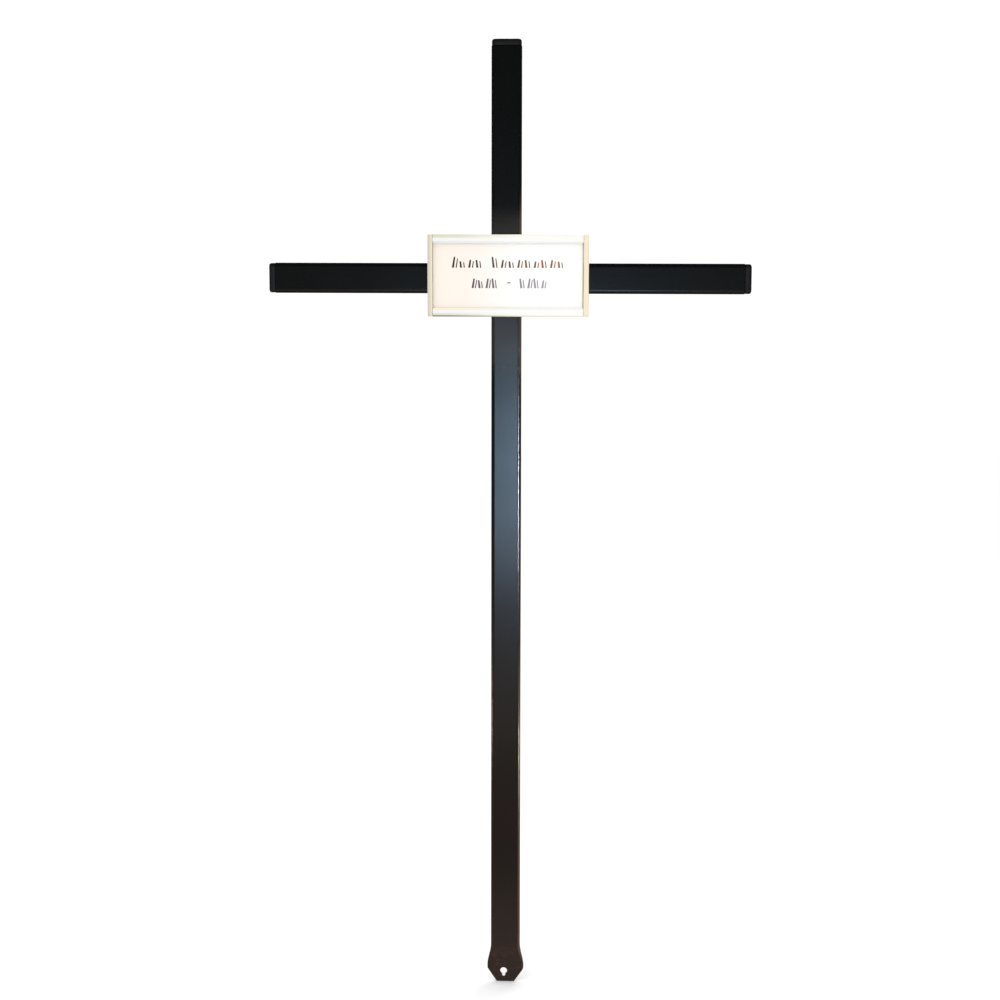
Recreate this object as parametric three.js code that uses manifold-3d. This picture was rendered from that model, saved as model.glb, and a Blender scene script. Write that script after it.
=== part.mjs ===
import * as THREE from 'three';
import { mergeVertices } from 'three/addons/utils/BufferGeometryUtils.js';
import Module from 'manifold-3d';

// Slim grave cross of flat steel tube, with a small sign holder over the crossing.
// Millimetres, +Z up, the front faces -Y. The origin is the middle of the flat tip at the foot.

// Flat steel tube of the post and both arms
const TUBE_WIDTH = 30;
const TUBE_DEPTH = 10;
const TUBE_WALL = 1.5;
const TUBE_CORNER = 3.5;

// The cross, measured over its end caps
const TOTAL_HEIGHT = 960;
const ARM_SPAN = 480;
const ARM_HEIGHT = 728;
const ARM_SHIFT = 2.2;

// Foot of the post, pressed flat into a blade
const BLADE_WIDTH = 37.6;
const BLADE_LENGTH = 23;
const FLARE_RUNOUT = 5.5;
const TAPER_LENGTH = 18;
const TIP_WIDTH = 18.3;
const LEFT_SHOULDER = 14.2;
const RIGHT_SHOULDER = 13.8;

// Keyhole punched through the blade
const KEYHOLE_HEAD = 7.2;
const KEYHOLE_SLOT = 3.3;
const KEYHOLE_HEIGHT = 11.2;
const KEYHOLE_DROP = 4.7;
const KEYHOLE_SHIFT = -1.8;

// Weld seams between the arms and the post
const WELD_WIDTH = 6;
const WELD_RISE = 0.8;
const WELD_SINK = 0.5;

// Plug caps in the open tube ends
const CAP_HEAD = 6.5;
const CAP_INSET = 0.6;
const CAP_ROUND = 2.2;
const CAP_CROWN = 0.3;
const CAP_CHAMFER = 0.4;
const PLUG_RIBS = 3;
const RIB_PITCH = 4.5;
const RIB_RISE = 0.6;

// Sign holder: a profile with a back plate and two lipped rails
const SIGN_WIDTH = 159.5;
const SIGN_HEIGHT = 80.5;
const SIGN_DEPTH = 8;
const SIGN_RISE = 2.6;
const BACK_THICKNESS = 2;
const RAIL_WIDTH = 9.1;
const RAIL_WALL = 1.6;
const RAIL_ROUND = 2.8;
const LIP_WIDTH = 3;
const LIP_BEVEL = 1.8;
const LIP_EDGE = 0.8;

// End pieces of the sign holder
const END_WIDTH = 4.8;
const END_PROUD = 0.1;
const END_BEVEL = 0.7;
const PEG_LENGTH = 8;

// Insert plate under the lips, and the strokes engraved in it
const INSERT_THICKNESS = 1.6;
const INSERT_LAP = 2.4;
const INSERT_SLACK = 1.4;
const STROKE_DEPTH = 0.4;
const STROKE_BROAD = 1.7;
const STROKE_THIN = 0.7;
const STROKE_HEAD = 0.6;
const STROKE_LEANS = [0.16, -0.12];
const STROKE_HEIGHTS = [1, 0.82, 1];
const THIN_HEIGHT = 0.8;
const ROWS = [
  { base: 7.8, height: 7.6, tall: 10.6, pitch: 8.1, margin: 17.2, shift: 0, blanks: [4], dashes: [] },
  { base: -12.2, height: 9.4, tall: 9.4, pitch: 6.9, margin: 36, shift: 1.2, blanks: [4, 6], dashes: [5] },
];

// Clearance kept between pieces that touch or slide together
const FIT_GAP = 0.3;

// Facets of the round stretches
const CORNER_STEPS = 5;
const TAPER_STEPS = 12;
const CAP_STEPS = 5;
const ARC_STEPS = 14;

const tubeInnerWidth = TUBE_WIDTH - 2 * TUBE_WALL;
const tubeInnerDepth = TUBE_DEPTH - 2 * TUBE_WALL;
const tubeInnerCorner = Math.max(TUBE_CORNER - TUBE_WALL, 0.3);
const capSeat = CAP_HEAD + FIT_GAP;
const armStart = TUBE_WIDTH / 2 + FIT_GAP;
const frontFace = -TUBE_DEPTH / 2;
const signBack = frontFace - FIT_GAP;
const signHeight = ARM_HEIGHT + SIGN_RISE;
const slotDepth = INSERT_THICKNESS + 2 * FIT_GAP;
const openHalfHeight = SIGN_HEIGHT / 2 - RAIL_WIDTH;
const profileLength = SIGN_WIDTH - 2 * (END_WIDTH + FIT_GAP);
const insertLength = SIGN_WIDTH - 2 * END_WIDTH - FIT_GAP - INSERT_SLACK;
const insertMiddle = ARM_SHIFT - (INSERT_SLACK - FIT_GAP) / 2;
const insertFront = signBack - BACK_THICKNESS - FIT_GAP - INSERT_THICKNESS;

const wasm = await Module();
wasm.setup();

// Closed solid of a geometry, ready to be joined or cut
function solidOf(geometry) {
  const bare = geometry.clone();
  bare.deleteAttribute('normal');
  bare.deleteAttribute('uv');
  const merged = mergeVertices(bare, 1e-5);
  const mesh = new wasm.Mesh({
    numProp: 3,
    vertProperties: new Float32Array(merged.attributes.position.array),
    triVerts: new Uint32Array(merged.index.array),
  });
  return new wasm.Manifold(mesh);
}

// Geometry of a finished solid
function geometryOf(solid) {
  const mesh = solid.getMesh();
  const geometry = new THREE.BufferGeometry();
  geometry.setAttribute('position', new THREE.BufferAttribute(new Float32Array(mesh.vertProperties), 3));
  geometry.setIndex(new THREE.BufferAttribute(new Uint32Array(mesh.triVerts), 1));
  geometry.computeVertexNormals();
  return geometry;
}

// Rounded rectangle at one height, as a ring of points
function roundedRing(width, depth, corner, z) {
  const radius = Math.min(corner, 0.49 * width, 0.49 * depth);
  const ring = [];
  for (let quarter = 0; quarter < 4; quarter += 1) {
    const centreX = (width / 2 - radius) * (quarter === 0 || quarter === 3 ? 1 : -1);
    const centreY = (depth / 2 - radius) * (quarter < 2 ? 1 : -1);
    for (let step = 0; step <= CORNER_STEPS; step += 1) {
      const angle = (quarter + step / CORNER_STEPS) * (Math.PI / 2);
      const x = centreX + radius * Math.cos(angle);
      const y = centreY + radius * Math.sin(angle);
      ring.push(new THREE.Vector3(x, y, z));
    }
  }
  return ring;
}

// Closed skin over rings that run upwards and all have the same number of points
function skin(rings) {
  const count = rings[0].length;
  const triangles = [];
  for (let level = 1; level < rings.length; level += 1) {
    for (let i = 0; i < count; i += 1) {
      const next = (i + 1) % count;
      const below = (level - 1) * count;
      const above = level * count;
      triangles.push(below + i, below + next, above + next);
      triangles.push(below + i, above + next, above + i);
    }
  }
  const last = (rings.length - 1) * count;
  for (let i = 1; i < count - 1; i += 1) {
    triangles.push(0, i + 1, i);
    triangles.push(last, last + i, last + i + 1);
  }
  const geometry = new THREE.BufferGeometry();
  geometry.setFromPoints(rings.flat());
  geometry.setIndex(triangles);
  return geometry;
}

// Straight bar with rounded corners between two heights
function bar(width, depth, corner, from, to) {
  return skin([roundedRing(width, depth, corner, from), roundedRing(width, depth, corner, to)]);
}

// Outline drawn in the front view, made as thick as asked about the plane of the cross
function frontPrism(shape, thickness) {
  const geometry = new THREE.ExtrudeGeometry(shape, {
    depth: thickness,
    bevelEnabled: false,
    curveSegments: ARC_STEPS,
  });
  geometry.translate(0, 0, -thickness / 2);
  geometry.rotateX(Math.PI / 2);
  return geometry;
}

// Outline drawn upwards and forwards, stretched sideways about the middle of the sign
function sidewaysPrism(shape, length, bevel) {
  const geometry = new THREE.ExtrudeGeometry(shape, {
    depth: length - 2 * bevel,
    bevelEnabled: bevel > 0,
    bevelThickness: bevel,
    bevelSize: bevel,
    bevelOffset: -bevel,
    bevelSegments: 2,
    curveSegments: CORNER_STEPS,
  });
  geometry.translate(0, 0, bevel - length / 2);
  const up = new THREE.Vector3(0, 0, 1);
  const forward = new THREE.Vector3(0, -1, 0);
  const right = new THREE.Vector3(1, 0, 0);
  geometry.applyMatrix4(new THREE.Matrix4().makeBasis(up, forward, right));
  geometry.translate(ARM_SHIFT, signBack, signHeight);
  return geometry;
}

// Width and depth of the post at a height. The walls part at a crease above the blade.
function footSection(z) {
  const flareFoot = BLADE_LENGTH - FLARE_RUNOUT;
  const taperTop = BLADE_LENGTH + TAPER_LENGTH;
  const flare = THREE.MathUtils.smoothstep(z, flareFoot, taperTop);
  const climb = THREE.MathUtils.clamp((z - BLADE_LENGTH) / TAPER_LENGTH, 0, 1);
  const swell = Math.sin((Math.PI / 2) * climb);
  return {
    width: THREE.MathUtils.lerp(BLADE_WIDTH, TUBE_WIDTH, flare),
    depth: THREE.MathUtils.lerp(2 * TUBE_WALL, TUBE_DEPTH, swell),
  };
}

// Heights at which the foot changes its section
function footHeights() {
  const heights = [0, BLADE_LENGTH - FLARE_RUNOUT, BLADE_LENGTH - FLARE_RUNOUT / 2];
  for (let step = 0; step <= TAPER_STEPS; step += 1) {
    heights.push(BLADE_LENGTH + (TAPER_LENGTH * step) / TAPER_STEPS);
  }
  return heights;
}

// Outside of the post, made larger all round by a clearance
function postOutside(grow, top) {
  const rings = footHeights().map((z) => {
    const { width, depth } = footSection(z);
    return roundedRing(width + 2 * grow, depth + 2 * grow, TUBE_CORNER + grow, z);
  });
  rings.push(roundedRing(TUBE_WIDTH + 2 * grow, TUBE_DEPTH + 2 * grow, TUBE_CORNER + grow, top));
  return skin(rings);
}

// Hollow of the post, which closes to nothing where the walls meet above the blade
function postHollow(top) {
  const rings = [];
  for (const z of footHeights()) {
    const { width, depth } = footSection(z);
    const hollowDepth = depth - 2 * TUBE_WALL;
    if (hollowDepth > FIT_GAP) {
      rings.push(roundedRing(width - 2 * TUBE_WALL, hollowDepth, tubeInnerCorner, z));
    }
  }
  rings.push(roundedRing(tubeInnerWidth, tubeInnerDepth, tubeInnerCorner, top));
  return skin(rings);
}

// Triangle that is cut off the blade between its tip and one shoulder
function shoulderCut(side) {
  const tip = new THREE.Vector2(TIP_WIDTH / 2, 0);
  const shoulder = new THREE.Vector2(BLADE_WIDTH / 2, side < 0 ? LEFT_SHOULDER : RIGHT_SHOULDER);
  const overrun = shoulder.clone().sub(tip).multiplyScalar(0.3);
  tip.sub(overrun);
  shoulder.add(overrun);
  const shape = new THREE.Shape();
  shape.moveTo(side * tip.x, tip.y);
  shape.lineTo(side * shoulder.x, tip.y);
  shape.lineTo(side * shoulder.x, shoulder.y);
  shape.closePath();
  return frontPrism(shape, 2 * TUBE_DEPTH);
}

// Keyhole with its round head above and its narrow slot below
function keyhole() {
  const headRadius = KEYHOLE_HEAD / 2;
  const slotRadius = Math.min(KEYHOLE_SLOT / 2, 0.95 * headRadius);
  const opening = Math.asin(slotRadius / headRadius);
  const down = -Math.PI / 2;
  const slotEnd = KEYHOLE_HEIGHT - KEYHOLE_DROP;
  const shape = new THREE.Shape();
  shape.absarc(KEYHOLE_SHIFT, KEYHOLE_HEIGHT, headRadius, down + opening, down - opening + 2 * Math.PI);
  shape.absarc(KEYHOLE_SHIFT, slotEnd, slotRadius, Math.PI, 2 * Math.PI);
  shape.closePath();
  return frontPrism(shape, 2 * TUBE_DEPTH);
}

function postGeometry() {
  const top = TOTAL_HEIGHT - capSeat;
  const post = solidOf(postOutside(0, top))
    .subtract(solidOf(postHollow(top + 1)))
    .subtract(solidOf(shoulderCut(-1)))
    .subtract(solidOf(shoulderCut(1)))
    .subtract(solidOf(keyhole()));
  return geometryOf(post);
}

// Round bead of weld, lying along Z with its middle at the origin
function weldBead(length) {
  const bead = new THREE.CylinderGeometry(1, 1, length, ARC_STEPS);
  bead.rotateX(Math.PI / 2);
  bead.scale(WELD_WIDTH / 2, WELD_RISE + WELD_SINK, 1);
  return bead;
}

// Weld seams of one arm: one across the back, and one each along its upper and lower edge
function weldSeams(side) {
  const back = weldBead(TUBE_WIDTH);
  back.translate(side * armStart, TUBE_DEPTH / 2 - WELD_SINK, ARM_HEIGHT);
  const edges = [-1, 1].map((edge) => {
    const seam = weldBead(TUBE_DEPTH - TUBE_CORNER);
    seam.rotateX(Math.PI / 2);
    seam.translate(side * armStart, TUBE_CORNER / 2, ARM_HEIGHT + edge * (TUBE_WIDTH / 2 - WELD_SINK));
    return seam;
  });
  return [back, ...edges];
}

// Arm on the left (side -1) or the right (side 1), with its weld seams
function armGeometry(side) {
  const end = ARM_SPAN / 2 + side * ARM_SHIFT - capSeat;
  const lay = (geometry) => geometry.rotateY((side * Math.PI) / 2).translate(0, 0, ARM_HEIGHT);
  let arm = solidOf(lay(bar(TUBE_WIDTH, TUBE_DEPTH, TUBE_CORNER, armStart, end)));
  for (const seam of weldSeams(side)) {
    arm = arm.add(solidOf(seam));
  }
  const hollow = lay(bar(tubeInnerWidth, tubeInnerDepth, tubeInnerCorner, armStart - 1, end + 1));
  const post = postOutside(FIT_GAP, TOTAL_HEIGHT);
  return geometryOf(arm.subtract(solidOf(hollow)).subtract(solidOf(post)));
}

// Domed head of an end cap, standing on the tube end at height 0
function capHead() {
  const headRing = (inset, z) =>
    roundedRing(TUBE_WIDTH - 2 * inset, TUBE_DEPTH - 2 * inset, TUBE_CORNER, z);
  const round = Math.min(CAP_ROUND, 0.3 * TUBE_DEPTH);
  const domeFoot = CAP_HEAD - CAP_CROWN - round;
  const domeInset = CAP_INSET + round;
  const rings = [headRing(CAP_INSET + CAP_CHAMFER, 0), headRing(CAP_INSET, CAP_CHAMFER)];
  for (let step = 0; step <= CAP_STEPS; step += 1) {
    const angle = ((Math.PI / 2) * step) / CAP_STEPS;
    rings.push(headRing(domeInset - round * Math.cos(angle), domeFoot + round * Math.sin(angle)));
  }
  rings.push(headRing((domeInset + TUBE_DEPTH / 2) / 2, CAP_HEAD));
  return skin(rings);
}

// Ribbed plug of an end cap, reaching down into the tube
function capPlug() {
  const ribWidth = tubeInnerWidth - 2 * FIT_GAP;
  const ribDepth = tubeInnerDepth - 2 * FIT_GAP;
  const plugRing = (inset, z) =>
    roundedRing(ribWidth - 2 * inset, ribDepth - 2 * inset, tubeInnerCorner + FIT_GAP, z);
  const rings = [];
  for (let rib = PLUG_RIBS; rib > 0; rib -= 1) {
    const ribFoot = -rib * RIB_PITCH;
    rings.push(plugRing(RIB_RISE, ribFoot), plugRing(0, ribFoot + RIB_PITCH / 3));
    rings.push(plugRing(0, ribFoot + RIB_PITCH / 2), plugRing(RIB_RISE, ribFoot + RIB_PITCH / 2));
  }
  rings.push(plugRing(RIB_RISE, CAP_CHAMFER));
  return skin(rings);
}

function capGeometry() {
  return geometryOf(solidOf(capHead()).add(solidOf(capPlug())));
}

// Section of the sign profile, drawn upwards and forwards from its back face
function profileShape() {
  const half = SIGN_HEIGHT / 2;
  const lipFoot = BACK_THICKNESS + slotDepth;
  const crestInside = SIGN_DEPTH - RAIL_WALL;
  const innerRound = Math.max(RAIL_ROUND - RAIL_WALL, 0.3);
  const arcCentre = new THREE.Vector2(half - RAIL_ROUND, SIGN_DEPTH - RAIL_ROUND);
  const innerCentre = new THREE.Vector2(half - RAIL_WALL - innerRound, crestInside - innerRound);
  const rail = [[half - RAIL_WALL, BACK_THICKNESS]];
  for (let step = 0; step <= CORNER_STEPS; step += 1) {
    const angle = ((Math.PI / 2) * step) / CORNER_STEPS;
    rail.push([innerCentre.x + innerRound * Math.cos(angle), innerCentre.y + innerRound * Math.sin(angle)]);
  }
  rail.push([openHalfHeight + LIP_WIDTH, crestInside], [openHalfHeight + LIP_WIDTH, lipFoot]);
  rail.push([openHalfHeight, lipFoot], [openHalfHeight, lipFoot + LIP_EDGE]);
  rail.push([openHalfHeight + LIP_BEVEL, SIGN_DEPTH]);
  for (let step = CORNER_STEPS; step >= 0; step -= 1) {
    const angle = ((Math.PI / 2) * step) / CORNER_STEPS;
    rail.push([arcCentre.x + RAIL_ROUND * Math.cos(angle), arcCentre.y + RAIL_ROUND * Math.sin(angle)]);
  }
  rail.push([half, 0]);
  const lowerRail = rail.map(([up, forward]) => [-up, forward]).reverse();
  return new THREE.Shape([...rail, ...lowerRail].map(([up, forward]) => new THREE.Vector2(up, forward)));
}

// Outline of an end piece, which covers the profile's section and stands a little proud of it
function endShape() {
  const half = SIGN_HEIGHT / 2 + END_PROUD;
  const front = SIGN_DEPTH + END_PROUD;
  const round = RAIL_ROUND + END_PROUD;
  const shape = new THREE.Shape();
  shape.moveTo(-half, 0);
  shape.lineTo(half, 0);
  shape.absarc(half - round, front - round, round, 0, Math.PI / 2);
  shape.absarc(-half + round, front - round, round, Math.PI / 2, Math.PI);
  shape.closePath();
  return shape;
}

// End piece on the left (side -1) or the right (side 1), with a peg for the hollow of each rail
function endGeometry(side) {
  const plate = sidewaysPrism(endShape(), END_WIDTH, END_BEVEL);
  plate.translate((side * (SIGN_WIDTH - END_WIDTH)) / 2, 0, 0);
  let end = solidOf(plate);
  const hollowFoot = openHalfHeight + LIP_WIDTH;
  const hollowHead = SIGN_HEIGHT / 2 - RAIL_WALL;
  const pegHeight = hollowHead - hollowFoot - 2 * FIT_GAP;
  const pegDepth = SIGN_DEPTH - RAIL_WALL - BACK_THICKNESS - RAIL_ROUND / 2;
  for (const edge of [-1, 1]) {
    const peg = new THREE.BoxGeometry(PEG_LENGTH + END_WIDTH / 2, pegDepth, pegHeight);
    const pegX = ARM_SHIFT + side * (SIGN_WIDTH / 2 - END_WIDTH - (PEG_LENGTH - END_WIDTH / 2) / 2);
    const pegY = signBack - BACK_THICKNESS - FIT_GAP - pegDepth / 2;
    peg.translate(pegX, pegY, signHeight + (edge * (hollowFoot + hollowHead)) / 2);
    end = end.add(solidOf(peg));
  }
  return geometryOf(end);
}

// One leaning stroke, thick at its foot and thinner at its head
function stroke(x, z, width, height, lean) {
  const headWidth = STROKE_HEAD * width;
  const headX = x + lean * height;
  const shape = new THREE.Shape();
  shape.moveTo(x - width / 2, z);
  shape.lineTo(x + width / 2, z);
  shape.lineTo(headX + headWidth / 2, z + height);
  shape.lineTo(headX - headWidth / 2, z + height);
  shape.closePath();
  const prism = frontPrism(shape, 2 * STROKE_DEPTH);
  prism.translate(insertMiddle, insertFront, signHeight);
  return prism;
}

// Strokes of one engraved row: pairs of a broad and a thin stroke, with blanks and dashes between them
function rowStrokes(row) {
  const slots = Math.floor((insertLength - 2 * row.margin) / row.pitch);
  const strokes = [];
  for (let slot = 0; slot < slots; slot += 1) {
    const x = row.shift + (slot - (slots - 1) / 2) * row.pitch;
    const leadsWord = slot === 0 || row.blanks.includes(slot - 1);
    const height = leadsWord ? row.tall : row.height * STROKE_HEIGHTS[slot % STROKE_HEIGHTS.length];
    const lean = STROKE_LEANS[slot % STROKE_LEANS.length];
    if (row.dashes.includes(slot)) {
      strokes.push(stroke(x, row.base + row.height / 2, row.pitch / 2, STROKE_THIN, 0));
    } else if (!row.blanks.includes(slot)) {
      strokes.push(stroke(x - row.pitch / 5, row.base, STROKE_BROAD, height, lean));
      strokes.push(stroke(x + row.pitch / 5, row.base, STROKE_THIN, THIN_HEIGHT * height, lean));
    }
  }
  return strokes;
}

function insertGeometry() {
  const height = 2 * (openHalfHeight + INSERT_LAP);
  const plate = new THREE.BoxGeometry(insertLength, INSERT_THICKNESS, height);
  plate.translate(insertMiddle, insertFront + INSERT_THICKNESS / 2, signHeight);
  let insert = solidOf(plate);
  for (const cut of ROWS.flatMap(rowStrokes)) {
    insert = insert.subtract(solidOf(cut));
  }
  return geometryOf(insert);
}

const blackCoat = { color: 0x15171a, roughness: 0.42, metalness: 0 };
const blackPlastic = { color: 0x101112, roughness: 0.5, metalness: 0 };
const paleProfile = { color: 0xf3efe6, roughness: 0.35, metalness: 0 };
const creamPlastic = { color: 0xeadfc4, roughness: 0.45, metalness: 0 };
const insertPlate = { color: 0xf8f2ea, roughness: 0.3, metalness: 0 };

function piece(name, geometry, look) {
  const mesh = new THREE.Mesh(geometry, new THREE.MeshStandardMaterial(look));
  mesh.name = name;
  return mesh;
}

const cross = new THREE.Group();
cross.add(piece('post', postGeometry(), blackCoat));
cross.add(piece('left_arm', armGeometry(-1), blackCoat));
cross.add(piece('right_arm', armGeometry(1), blackCoat));

const topCap = piece('top_end_cap', capGeometry(), blackPlastic);
topCap.position.set(0, 0, TOTAL_HEIGHT - CAP_HEAD);
cross.add(topCap);

for (const [name, side] of [['left_end_cap', -1], ['right_end_cap', 1]]) {
  const cap = piece(name, capGeometry(), blackPlastic);
  cap.position.set(ARM_SHIFT + side * (ARM_SPAN / 2 - CAP_HEAD), 0, ARM_HEIGHT);
  cap.rotation.y = (side * Math.PI) / 2;
  cross.add(cap);
}

cross.add(piece('sign_holder', sidewaysPrism(profileShape(), profileLength, 0), paleProfile));
cross.add(piece('holder_left_end', endGeometry(-1), creamPlastic));
cross.add(piece('holder_right_end', endGeometry(1), creamPlastic));
cross.add(piece('name_insert', insertGeometry(), insertPlate));

export default cross;
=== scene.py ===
import math
import random
from contextlib import contextmanager
from functools import partialmethod

import bmesh
import bpy
from bpy.props import FloatProperty, FloatVectorProperty, PointerProperty
from bpy.types import Operator, Panel, PropertyGroup, Scene
from mathutils import Matrix, Vector


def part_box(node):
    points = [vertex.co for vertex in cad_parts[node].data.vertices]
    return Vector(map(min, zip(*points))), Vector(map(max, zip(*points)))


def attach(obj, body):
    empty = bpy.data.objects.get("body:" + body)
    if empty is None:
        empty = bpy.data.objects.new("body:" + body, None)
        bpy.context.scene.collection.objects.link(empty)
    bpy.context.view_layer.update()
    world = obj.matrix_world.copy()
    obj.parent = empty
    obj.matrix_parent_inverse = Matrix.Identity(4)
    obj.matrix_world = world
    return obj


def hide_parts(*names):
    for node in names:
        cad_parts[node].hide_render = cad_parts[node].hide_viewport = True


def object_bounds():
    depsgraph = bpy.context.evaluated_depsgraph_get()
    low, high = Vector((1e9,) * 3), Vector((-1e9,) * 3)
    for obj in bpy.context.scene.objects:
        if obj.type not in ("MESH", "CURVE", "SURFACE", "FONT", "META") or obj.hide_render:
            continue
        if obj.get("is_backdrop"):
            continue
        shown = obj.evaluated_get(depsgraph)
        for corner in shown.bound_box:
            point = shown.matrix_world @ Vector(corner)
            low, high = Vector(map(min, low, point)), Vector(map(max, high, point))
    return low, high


bl_info = {
    "name": "Grave Cross",
    "version": (1, 0, 0),
    "blender": (4, 5, 0),
    "location": "View3D > Sidebar > Grave Cross",
    "description": "Models a grave cross of flat steel tube, its sign holder and a plain stage",
    "category": "Object",
}

MM = 0.001
BODY = "root"
FIT_GAP = 0.3 * MM
NEAR = 0.02 * MM
# Least cosines of an edge along an axis, of a face that looks along one, and of a flat face
ALONG, FACING, FLAT = 0.999, 0.9, 0.9999

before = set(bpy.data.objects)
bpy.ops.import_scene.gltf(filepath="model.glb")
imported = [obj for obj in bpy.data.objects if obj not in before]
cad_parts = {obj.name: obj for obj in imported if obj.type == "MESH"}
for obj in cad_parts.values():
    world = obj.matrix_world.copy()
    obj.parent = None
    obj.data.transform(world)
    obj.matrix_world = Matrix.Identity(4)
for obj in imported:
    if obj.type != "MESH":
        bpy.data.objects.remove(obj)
cad_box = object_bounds()

# Places and sizes that the frame fixes, in metres
post_low, post_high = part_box("post")
cap_low, cap_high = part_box("left_end_cap")
far_cap_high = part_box("right_end_cap")[1]
holder_low, holder_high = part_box("sign_holder")
insert_low, insert_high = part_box("name_insert")
end_low, end_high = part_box("holder_left_end")
far_end_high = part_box("holder_right_end")[1]
arm_height = (cap_low.z + cap_high.z) / 2
sign_height = (holder_low.z + holder_high.z) / 2
top_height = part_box("top_end_cap")[1].z
blade_width, tube_depth = post_high.x - post_low.x, post_high.y - post_low.y
sign_half = (holder_high.z - holder_low.z) / 2
insert_middle = (insert_low.x + insert_high.x) / 2


# Settings that a user may change

def number(name, value, description, **limits):
    """A plain number."""
    return FloatProperty(name=name, description=description, default=value, **limits)


def length(name, millimetres, description):
    """A length, given in millimetres and kept in metres."""
    return number(name, millimetres * MM, description, min=0, precision=5, unit="LENGTH")


def angle(name, degrees, description):
    """An angle, given in degrees."""
    return number(name, math.radians(degrees), description, subtype="ANGLE")


def tint(name, rgb, description):
    """A colour in linear light."""
    return FloatVectorProperty(
        name=name, description=description, default=rgb, min=0, max=1, size=3, subtype="COLOR"
    )


class TubeSettings(PropertyGroup):
    """Flat tube, its pressed foot and its weld seams"""

    width: length("Tube width", 30, "Width of the broad face of the tube")
    wall: length("Tube wall", 1.5, "Thickness of the steel")
    corner: length("Corner", 4, "Reach of a long corner's soft rounding along the faces")
    fullness: number(
        "Corner fullness", 0.587, "0.5 gives a round corner, more a squarer one", min=0.3, max=0.9
    )
    edge_break: length("Edge break", 0.25, "Rounding of punched and sawn edges")
    edge_round: length("Edge rounding", 0.7, "Rounding of the blade's cut edges")
    blade: length("Blade length", 23, "Length of the foot pressed quite flat")
    runout: length("Flare runout", 5.5, "Reach of the flare down into the blade")
    taper: length("Taper length", 18, "Length over which the walls part above the blade")
    tip: length("Tip width", 18.3, "Width of the flat tip")
    left_shoulder: length("Left shoulder", 14.2, "Height at which the left corner is cut")
    right_shoulder: length("Right shoulder", 13.8, "Height at which the right corner is cut")
    worn: length("Worn radius", 9, "Radius to which the right shoulder is worn")
    key_head: length("Keyhole head", 7.2, "Diameter of the keyhole's round head")
    key_slot: length("Keyhole slot", 3.3, "Width of the keyhole's slot")
    key_height: length("Keyhole height", 11.2, "Height of the head's middle over the tip")
    key_drop: length("Keyhole drop", 4.7, "Distance from the head's middle to the slot's end")
    key_shift: length("Keyhole shift", 1.8, "How far the keyhole is left of the middle")
    bead_width: length("Weld width", 6, "Width of a weld seam")
    bead_rise: length("Weld rise", 0.75, "Height of a weld seam over the tube")
    bead_sink: length("Weld sink", 0.5, "Depth of a weld seam's middle below the tube's face")
    bead_step: length("Weld ripple", 1.7, "Distance between ripples of the weld")


class CapSettings(PropertyGroup):
    """Plastic plug caps in the tube ends"""

    head: length("Head height", 6.5, "Height of the cap over its seat")
    inset: length("Head inset", 0.4, "How far the head is set back from the tube's faces")
    dome: length("Dome radius", 2.2, "Rounding of the head's upper rim")
    crown: length("Crown", 0.3, "Rise of the head's middle over its rounded rim")
    chamfer: length("Foot chamfer", 0.4, "Chamfer where the head meets the tube")
    rib_pitch: length("Rib pitch", 4.5, "Distance between ribs of the plug")
    rib_rise: length("Rib rise", 0.6, "Height of a rib over the plug")


class SignSettings(PropertyGroup):
    """Sign holder, its end pieces and the name insert"""

    back: length("Back thickness", 2, "Thickness of the holder's back plate")
    rail: length("Rail width", 8.6, "Width of each rail in front view")
    wall: length("Rail wall", 1.6, "Thickness of the rails")
    rounding: length("Rail rounding", 2.8, "Radius of the rails' outer corners")
    lip: length("Lip width", 3, "Width of the lip that holds the insert")
    lip_bevel: length("Lip bevel", 1.8, "Width of the slope on the lip")
    lip_edge: length("Lip edge", 0.8, "Height of the lip's upright edge under the slope")
    end: length("End width", 4.8, "Width of each end piece")
    end_proud: length("End proud", 0.1, "How far an end piece stands out over the rails")
    end_bevel: length("End bevel", 0.7, "Rounding of an end piece's outer rim")
    peg: length("Peg length", 8, "Length of an end piece's pegs in the rails")
    edge_break: length("Edge break", 0.2, "Rounding of the other edges")
    stroke_depth: length("Stroke depth", 0.4, "Depth of the engraved strokes")
    broad: length("Broad stroke", 2.1, "Width of the broad strokes at their foot")
    thin: length("Thin stroke", 1.2, "Width of the thin strokes at their foot")


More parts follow.
